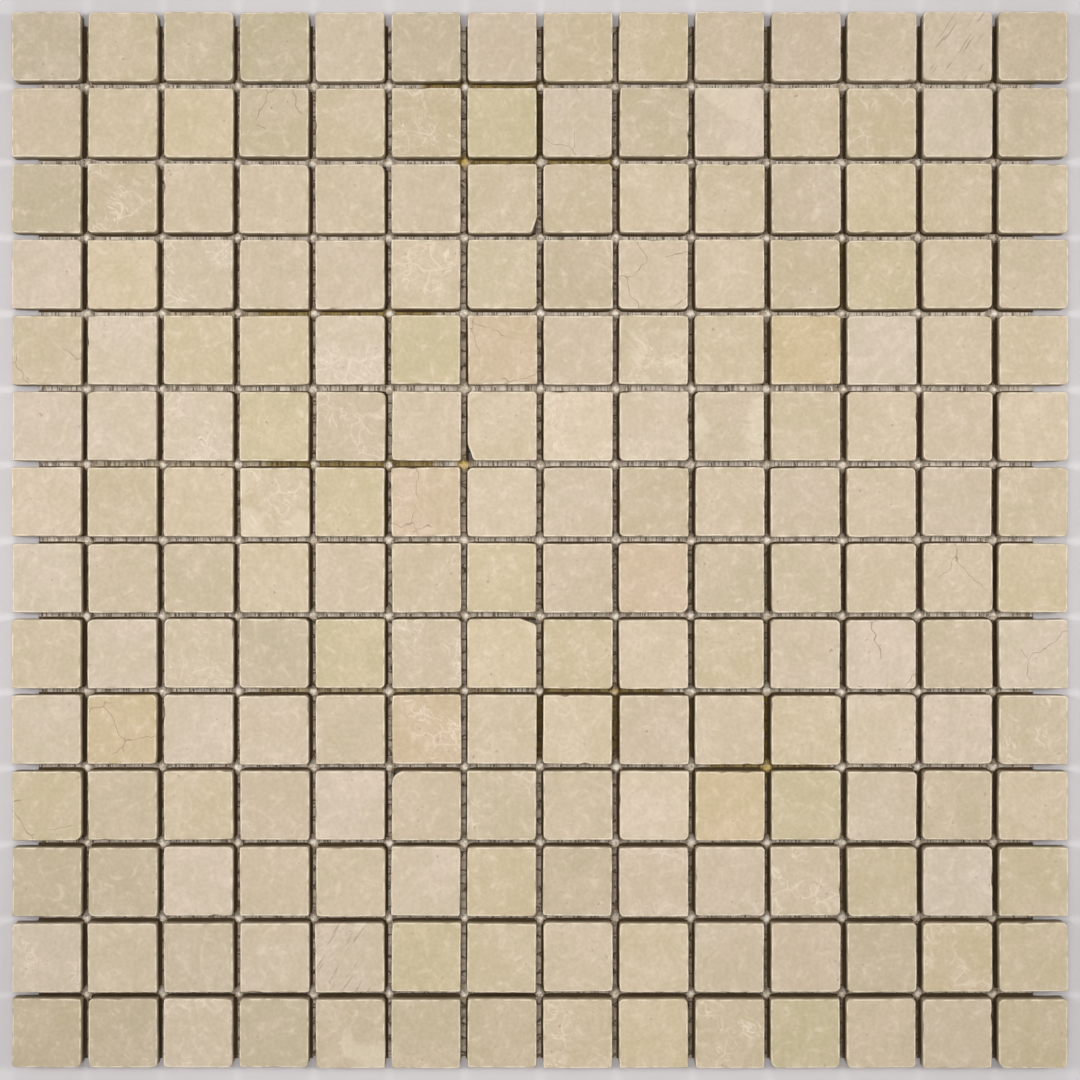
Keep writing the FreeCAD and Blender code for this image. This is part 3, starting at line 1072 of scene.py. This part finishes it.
@dataclass
class BackingMesh:
    """The glass-fibre mesh: pairs of warp strands twisted round flat weft yarns."""

    finish: FibreFinish
    strand_radius: float = 0.24 * MM
    strand_sides: int = 4
    twist_reach: float = 0.22 * MM
    twist_lift: float = 0.09 * MM
    steps_per_cell: int = 3
    weft_sides: int = 6
    weft_lift: float = 0.03 * MM
    sway: float = 0.16 * MM
    seed: int = 5

    def build(self, frame: dict) -> list[bpy.types.Object]:
        """Build both sets of yarns.

        Args:
            frame: The loaded frame.

        Returns:
            The warp and the weft.
        """
        material = self.finish.material()
        warps = yarn_lines(frame["nodes"]["mesh_warp"], 0)
        wefts = yarn_lines(frame["nodes"]["mesh_weft"], 1)
        return [self._warp(warps, wefts, material), self._weft(wefts, warps, material)]

    def _rod(self, length: float, radii: tuple[float, float], sides: int, cuts: int) -> bpy.types.Mesh:
        """Make one straight yarn along Y, with rings of points to bend it by.

        Args:
            length: Its length.
            radii: Half its width and half its thickness.
            sides: How many sides it has.
            cuts: How many rings lie between its ends.

        Returns:
            The yarn's mesh, about the origin.
        """
        shape = bmesh.new()
        bmesh.ops.create_cone(shape, cap_ends=True, segments=sides, radius1=1.0, radius2=1.0, depth=1.0)
        run = [edge for edge in shape.edges if abs(edge.verts[0].co.z - edge.verts[1].co.z) > 0.5]
        bmesh.ops.subdivide_edges(shape, edges=run, cuts=cuts)
        for corner in shape.verts:
            corner.co = Vector((corner.co.x * radii[0], corner.co.z * length, corner.co.y * radii[1]))
        data = bpy.data.meshes.new("yarn")
        shape.to_mesh(data)
        shape.free()
        return data

    def _laid(self, shape: bmesh.types.BMesh, rod: bpy.types.Mesh) -> list[bmesh.types.BMVert]:
        """Add one more straight yarn to a set.

        Args:
            shape: The set.
            rod: The yarn.

        Returns:
            The new yarn's points.
        """
        shape.from_mesh(rod)
        shape.verts.ensure_lookup_table()
        return shape.verts[-len(rod.vertices):]

    def _warp(self, warps: list[float], wefts: list[float],
              material: bpy.types.Material) -> bpy.types.Object:
        """Twist two strands together for each warp yarn, half a turn from weft to weft.

        Args:
            warps: Where the warp yarns lie.
            wefts: Where the weft yarns lie.
            material: The fibre.

        Returns:
            The warp.
        """
        low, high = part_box("mesh_warp")
        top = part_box("mesh_weft")[1].z
        draw = random.Random(self.seed)
        cell = wefts[1] - wefts[0]
        length = high.y - low.y
        cuts = round(length / cell) * self.steps_per_cell
        rod = self._rod(length, (self.strand_radius, self.strand_radius * 0.45), self.strand_sides, cuts)
        shape = bmesh.new()
        for line in warps:
            phase = draw.uniform(0.0, 40.0)
            for side in (-1.0, 1.0):
                for corner in self._laid(shape, rod):
                    along = corner.co.y + (low.y + high.y) / 2
                    turn = math.pi * ((along - wefts[0]) / cell + 0.5)
                    sway = noise.noise(Vector((phase, along / (30 * MM), 0.0))) * self.sway
                    corner.co += Vector((line + side * self.twist_reach * math.cos(turn) + sway,
                                         (low.y + high.y) / 2,
                                         top / 2 + side * self.twist_lift * math.sin(turn)))
        return self._finish(shape, "warp_strands", material, "mesh_warp")

    def _weft(self, wefts: list[float], warps: list[float],
              material: bpy.types.Material) -> bpy.types.Object:
        """Lay the flat weft yarns, waving a little over and under the warp.

        Args:
            wefts: Where the weft yarns lie.
            warps: Where the warp yarns lie.
            material: The fibre.

        Returns:
            The weft.
        """
        low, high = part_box("mesh_weft")
        width = (wefts[0] - low.y)
        top = high.z
        draw = random.Random(self.seed + 1)
        cell = warps[1] - warps[0]
        length = high.x - low.x
        cuts = round(length / cell) * 2
        rod = self._rod(length, (width, 0.09 * MM), self.weft_sides, cuts)
        shape = bmesh.new()
        for line in wefts:
            phase = draw.uniform(0.0, 40.0)
            for corner in self._laid(shape, rod):
                along = corner.co.y + (low.x + high.x) / 2
                sway = noise.noise(Vector((along / (30 * MM), phase, 0.0))) * self.sway
                lift = self.weft_lift * math.cos(math.pi * (along - warps[0]) / cell)
                corner.co = Vector((along, line + corner.co.x + sway, top / 2 + corner.co.z + lift))
        return self._finish(shape, "weft_yarns", material, "mesh_weft")

    def _finish(self, shape: bmesh.types.BMesh, name: str, material: bpy.types.Material,
                node: str) -> bpy.types.Object:
        """Turn a set of yarns into a piece and mark its stains.

        Args:
            shape: The yarns.
            name: The piece's name.
            material: The fibre.
            node: The CAD node that the yarns stand for.

        Returns:
            The piece.
        """
        bmesh.ops.recalc_face_normals(shape, faces=shape.faces)
        piece = make_piece(name, shape, material, [node])
        store(piece.data, "stain", "FLOAT", [stain_at(point.co) for point in piece.data.vertices])
        return piece


@dataclass
class Glue:
    """The glue that shows: a bead where four chips meet, and a thin film along every joint."""

    finish: GlueFinish
    core: float = 1.45 * MM
    arm_across: float = 0.4 * MM
    arm_along: float = 1.1 * MM
    bead_clear: float = 2.6 * MM
    film_step: float = 1.5 * MM
    film_cuts: int = 5
    film_reach: float = 1.15 * MM
    film_level: float = 0.26 * MM
    film_climb: float = 0.75 * MM
    # Painted shade along the film's feet, on the side away from the shade centre and on the side towards it.
    outer_foot_shade: float = 3.2
    inner_foot_shade: float = 0.5
    # How much painted shade the film in joints along Y gets away from the shade centre.
    outer_shading: float = 0.8
    seed: int = 9

    def build(self, frame: dict) -> list[bpy.types.Object]:
        """Build the beads and the film.

        Args:
            frame: The loaded frame.

        Returns:
            Both pieces.
        """
        spots = self._bead_spots(frame["nodes"]["glue_beads"])
        warps = yarn_lines(frame["nodes"]["mesh_warp"], 0)
        wefts = yarn_lines(frame["nodes"]["mesh_weft"], 1)
        yarns = [(lines[0], lines[1] - lines[0]) for lines in (warps, wefts)]
        return [self._beads(spots), self._film(spots, yarns)]

    def _bead_spots(self, node: bpy.types.Object) -> list[Vector]:
        """Find the middle of each bead's crown in the CAD node.

        Args:
            node: The CAD node.

        Returns:
            The beads' crowns.
        """
        shape = bmesh.new()
        shape.from_mesh(node.data)
        bmesh.ops.remove_doubles(shape, verts=shape.verts, dist=1e-6)
        bmesh.ops.dissolve_limit(shape, angle_limit=0.01, verts=shape.verts, edges=shape.edges)
        crown = max(corner.co.z for corner in shape.verts)
        spots = [face.calc_center_bounds() for face in shape.faces
                 if all(corner.co.z > crown - 1e-5 for corner in face.verts)]
        shape.free()
        return spots

    def _beads(self, spots: list[Vector]) -> bpy.types.Object:
        """Shape a bead on each spot: a dome with arms that creep into the joints.

        Args:
            spots: The beads' crowns.

        Returns:
            The beads.
        """
        foot, crown = (corner.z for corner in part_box("glue_beads"))
        draw = random.Random(self.seed)
        shape = bmesh.new()
        for spot in spots:
            size = draw.uniform(0.8, 1.2)
            height = (spot.z - foot) * draw.uniform(0.7, 1.0)
            lean = Vector((draw.uniform(-0.3, 0.3), draw.uniform(-0.3, 0.3), 0.0)) * MM
            phase = draw.uniform(0.0, 90.0)
            arms = [draw.uniform(0.3, 1.0) * reach for reach in
                    (self.arm_across, self.arm_along, self.arm_across, self.arm_along)]
            ball = bmesh.ops.create_icosphere(shape, subdivisions=2, radius=1.0)["verts"]
            for corner in ball:
                turn = math.atan2(corner.co.y, corner.co.x)
                spread = math.hypot(corner.co.x, corner.co.y)
                pull = [max(0.0, math.cos(turn - quarter * math.pi / 2)) ** 6 for quarter in range(4)]
                lobes = 1.0 + 0.3 * noise.noise(Vector((math.cos(turn), math.sin(turn), phase)))
                reach = self.core * size * lobes
                reach += sum(arm * share for arm, share in zip(arms, pull)) * spread ** 3
                level = foot + height * max(0.0, corner.co.z) ** 1.8
                if corner.co.z < 0.0:
                    level = foot + 0.25 * MM * corner.co.z
                grit = noise.noise_vector((corner.co + spot / MM) * 2.1) * 0.17 * MM
                corner.co = Vector((spot.x + lean.x + corner.co.x * reach + grit.x,
                                    spot.y + lean.y + corner.co.y * reach + grit.y, level + grit.z * 0.5))
        bmesh.ops.recalc_face_normals(shape, faces=shape.faces)
        piece = make_piece("glue_blobs", shape, self.finish.bead(foot, crown), ["glue_beads"])
        store(piece.data, "stain", "FLOAT", [drip_at(point.co) for point in piece.data.vertices])
        return piece

    def _film(self, spots: list[Vector], yarns: list[tuple[float, float]]) -> bpy.types.Object:
        """Lay a strip of film along every joint, climbing a little against the chips' feet.

        Args:
            spots: The beads' crowns, which lie on the joints.
            yarns: The first yarn and the yarns' pitch, for the warp and for the weft.

        Returns:
            The film.
        """
        low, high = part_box("mesh_weft")
        ends = [corner.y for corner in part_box("mesh_warp")]
        across = sorted({round(spot.y / MM, 2) for spot in spots})
        along = sorted({round(spot.x / MM, 2) for spot in spots})
        shape = bmesh.new()
        layers = [shape.verts.layers.float_vector.new("joint_place"),
                  shape.verts.layers.float.new("foot"), shape.verts.layers.float.new("ribbed"),
                  shape.verts.layers.float.new("crossing"), shape.verts.layers.float.new("outer_shade")]
        for line in across:
            self._strip(shape, layers, line * MM, (low.x, high.x), yarns[0], along, True)
        for line in along:
            self._strip(shape, layers, line * MM, ends, yarns[1], across, False)
        bmesh.ops.recalc_face_normals(shape, faces=shape.faces)
        piece = make_piece("glue_film", shape, self.finish.wrinkled_film(), [])
        store(piece.data, "stain", "FLOAT", [stain_at(point.co) for point in piece.data.vertices])
        return piece

    def _strip(self, shape: bmesh.types.BMesh, layers: list, line: float, ends: tuple[float, float],
               yarns: tuple[float, float], beads: list[float], along_x: bool) -> None:
        """Add one strip of film.

        Args:
            shape: The shape to add it to.
            layers: Its place in the joint, its painted foot shade, its ribs, the yarns it crosses and its
                painted outer shade.
            line: Where the joint's middle lies.
            ends: Where the mesh begins and ends along the joint.
            yarns: Where the first yarn crosses the joint, and how far the next one is.
            beads: Where the beads lie along the joint, in millimetres.
            along_x: Whether the joint runs along X.
        """
        length = ends[1] - ends[0]
        older = len(shape.verts)
        bmesh.ops.create_cube(shape, size=1.0)
        for axis, cuts in ((0, round(length / self.film_step)), (1, self.film_cuts)):
            shape.verts.ensure_lookup_table()
            own = set(shape.verts[older:])
            run = {edge for corner in own for edge in corner.link_edges
                   if abs(edge.verts[0].co[axis] - edge.verts[1].co[axis]) > 0.9}
            bmesh.ops.subdivide_edges(shape, edges=list(run), cuts=cuts, use_grid_fill=True)
        shape.verts.ensure_lookup_table()
        place_layer, foot_shade_layer, rib_layer, yarn_layer, outer_shade_layer = layers
        outward = line / MM - SHADE_CENTRE[1 if along_x else 0]
        far = min(1.0, abs(outward) / SHADE_REACH)
        # Painted shade in joints along Y, growing away from the shade centre.
        thin = 0.0 if along_x else self.outer_shading * far ** 1.5
        # Painted shade along the outer foot: for joints along X it weakens further towards +Y and grows
        # further towards -Y.
        fading = (-0.5 if outward > 0.0 else 0.2) * far
        outer_foot_shade = self.outer_foot_shade * (0.7 + fading if along_x else 1.0)
        for corner in shape.verts[older:]:
            place = (ends[0] + ends[1]) / 2 + corner.co.x * length
            side = corner.co.y * 2
            spot = Vector((place, line, 0.0)) if along_x else Vector((line, place, 0.0))
            ripple = noise.noise(Vector((spot.x, spot.y, side * MM)) / (2.2 * MM)) * 0.09 * MM
            clear = min(1.0, min(abs(place - bead * MM) for bead in beads) / self.bead_clear)
            level = self.film_level + self.film_climb * side ** 4 + ripple
            if corner.co.z < 0.0:
                level = 0.04 * MM
            across = line + side * self.film_reach
            corner[place_layer] = (place, across * 0.6, 0.0)
            # Painted shade along the foot, stronger on the side away from the shade centre, and none near
            # the beads.
            foot = outer_foot_shade if side * outward > 0.0 else self.inner_foot_shade
            corner[foot_shade_layer] = abs(side) * foot * clear
            corner[rib_layer] = clear if along_x else 0.0
            corner[outer_shade_layer] = thin * clear
            corner[yarn_layer] = math.cos(math.pi * (place - yarns[0]) / yarns[1]) ** 2
            corner.co = Vector((place, across, level)) if along_x else Vector((across, place, level))


@dataclass
class Studio:
    """A pale floor, soft light from all four sides, and a camera straight above."""

    floor: FloorFinish
    view_distance: float = 470 * MM
    lens: float = 54.33
    sky: float = 0.24
    lamp_reach: float = 0.60
    lamp_height: float = 0.47
    lamp_size: tuple[float, float] = (0.20, 0.36)
    side_power: float = 0.55
    end_power: float = 0.29
    beam: float = math.radians(80.0)
    heart: tuple[float, float] = (-42 * MM, 50 * MM)

    def build(self, frame: dict) -> None:
        """Set up the floor, the lights and the camera.

        Args:
            frame: The loaded frame; not used.
        """
        self._floor()
        self._world()
        reach, height = self.lamp_reach, self.lamp_height
        self._lamp("left_softbox", Vector((-reach, self.heart[1], height)), self.side_power)
        self._lamp("right_softbox", Vector((reach, self.heart[1], height)), self.side_power)
        self._lamp("far_softbox", Vector((self.heart[0], reach, height)), self.end_power)
        self._lamp("near_softbox", Vector((self.heart[0], -reach, height)), self.end_power)
        self._camera(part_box("tile_row_01")[1].z)

    def _floor(self) -> None:
        """Lay the floor just under the mesh."""
        shape = bmesh.new()
        bmesh.ops.create_grid(shape, x_segments=1, y_segments=1, size=6.0)
        data = bpy.data.meshes.new("pale_floor")
        shape.to_mesh(data)
        shape.free()
        data.materials.append(self.floor.material())
        floor = bpy.data.objects.new("pale_floor", data)
        bpy.context.scene.collection.objects.link(floor)

    def _world(self) -> None:
        """Light everything softly from all round, with a pale backdrop for the camera."""
        world = bpy.data.worlds.new("soft_sky")
        world.use_nodes = True
        bpy.context.scene.world = world
        tree = world.node_tree
        sky = tree.nodes["Background"]
        sky.inputs["Color"].default_value = (1.0, 0.985, 0.97, 1.0)
        sky.inputs["Strength"].default_value = self.sky
        backdrop = tree.nodes.new("ShaderNodeBackground")
        backdrop.inputs["Color"].default_value = (0.83, 0.82, 0.82, 1.0)
        pick = tree.nodes.new("ShaderNodeMixShader")
        tree.links.new(seen_rays(tree), pick.inputs[0])
        tree.links.new(sky.outputs[0], pick.inputs[1])
        tree.links.new(backdrop.outputs[0], pick.inputs[2])
        tree.links.new(pick.outputs[0], tree.nodes["World Output"].inputs["Surface"])

    def _lamp(self, name: str, place: Vector, power: float) -> None:
        """Hang one soft box that faces the sheet's middle.

        Args:
            name: Its name.
            place: Where it hangs.
            power: Its power in watts.
        """
        light = bpy.data.lights.new(name, "AREA")
        light.spread = self.beam
        light.shape = "RECTANGLE"
        light.size, light.size_y = self.lamp_size
        light.energy = power
        lamp = bpy.data.objects.new(name, light)
        lamp.location = place
        lamp.rotation_mode = "QUATERNION"
        lamp.rotation_quaternion = (-place).to_track_quat("-Z", "Y")
        bpy.context.scene.collection.objects.link(lamp)

    def _camera(self, face: float) -> None:
        """Hang the camera above the middle of the sheet, looking straight down.

        Args:
            face: The height of the chips' faces.
        """
        data = bpy.data.cameras.new("camera")
        data.lens = self.lens
        data.sensor_width = 36.0
        data.clip_start = 0.01
        camera = bpy.data.objects.new("camera", data)
        camera.location = (0.0, 0.0, face + self.view_distance)
        bpy.context.scene.collection.objects.link(camera)
        bpy.context.scene.camera = camera


def main() -> None:
    """Build the sheet's pieces round the frame, then the studio."""
    logging.basicConfig(level=logging.INFO, format="%(message)s")
    bpy.ops.wm.read_factory_settings(use_empty=True)
    noise.seed_set(NOISE_SEED)
    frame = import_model()
    bpy.context.scene.view_settings.view_transform = "Standard"
    ChipRows(StoneFinish()).build(frame)
    BackingMesh(FibreFinish()).build(frame)
    Glue(GlueFinish()).build(frame)
    Studio(FloorFinish()).build(frame)


if __name__ == "__main__":
    main()
